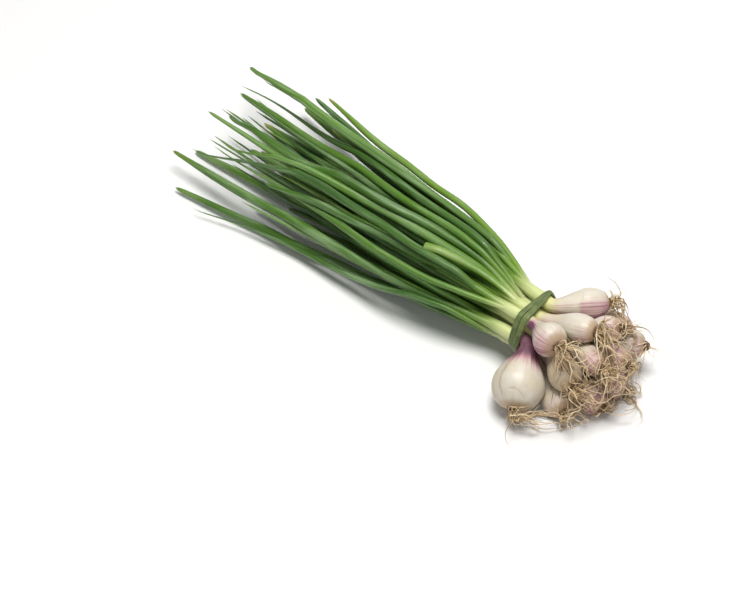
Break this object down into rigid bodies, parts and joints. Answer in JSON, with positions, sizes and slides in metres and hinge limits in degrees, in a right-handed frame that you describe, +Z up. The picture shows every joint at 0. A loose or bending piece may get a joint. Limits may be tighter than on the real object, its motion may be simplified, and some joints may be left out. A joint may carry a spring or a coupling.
{
  "type": "spring onion bunch",
  "caption": "Bunch of spring onions lying down: white and purple bulbs with curly roots, necks tied with a strip of leaf, long green leaves fanning out.",
  "frame": {"origin": "middle of the bunch's footprint on the table it lies on", "axes": "+X from the leaf tips to the bulbs and roots, +Y across the bunch, +Z up from the table"},
  "size_m": [0.3606, 0.1316, 0.0577],
  "materials": {
    "bulb_white": "smooth, waxy, slightly glossy skin, pale yellow-green towards the tie",
    "bulb_purple": "smooth, waxy skin, purple-pink in streaks over white",
    "leaf_green": "waxy, soft gloss with a fine grey bloom, pale near the tie",
    "root_tan": "matt, dry, earthy",
    "tie_leaf": "flattened leaf, soft satin"
  },
  "bodies": {
    "root": {"roots_01": "root_tan", "bulb_01": "bulb_white", "leaves_01": "leaf_green", "roots_02": "root_tan", "bulb_02": "bulb_white", "leaves_02": "leaf_green", "roots_03": "root_tan", "bulb_03": "bulb_white", "leaves_03": "leaf_green", "roots_04": "root_tan", "bulb_04": "bulb_white", "leaves_04": "leaf_green", "roots_05": "root_tan", "bulb_05": "bulb_white", "leaves_05": "leaf_green", "roots_06": "root_tan", "bulb_06": "bulb_purple", "leaves_06": "leaf_green", "roots_07": "root_tan", "bulb_07": "bulb_white", "leaves_07": "leaf_green", "roots_08": "root_tan", "bulb_08": "bulb_purple", "leaves_08": "leaf_green", "roots_09": "root_tan", "bulb_09": "bulb_white", "leaves_09": "leaf_green", "roots_10": "root_tan", "bulb_10": "bulb_purple", "leaves_10": "leaf_green", "roots_11": "root_tan", "bulb_11": "bulb_white", "leaves_11": "leaf_green", "roots_12": "root_tan", "bulb_12": "bulb_white", "leaves_12": "leaf_green", "roots_13": "root_tan", "bulb_13": "bulb_purple", "leaves_13": "leaf_green", "roots_14": "root_tan", "bulb_14": "bulb_white", "leaves_14": "leaf_green", "roots_15": "root_tan", "bulb_15": "bulb_white", "leaves_15": "leaf_green", "roots_16": "root_tan", "bulb_16": "bulb_white", "leaves_16": "leaf_green", "tie": "tie_leaf"}
  },
  "joints": []
}
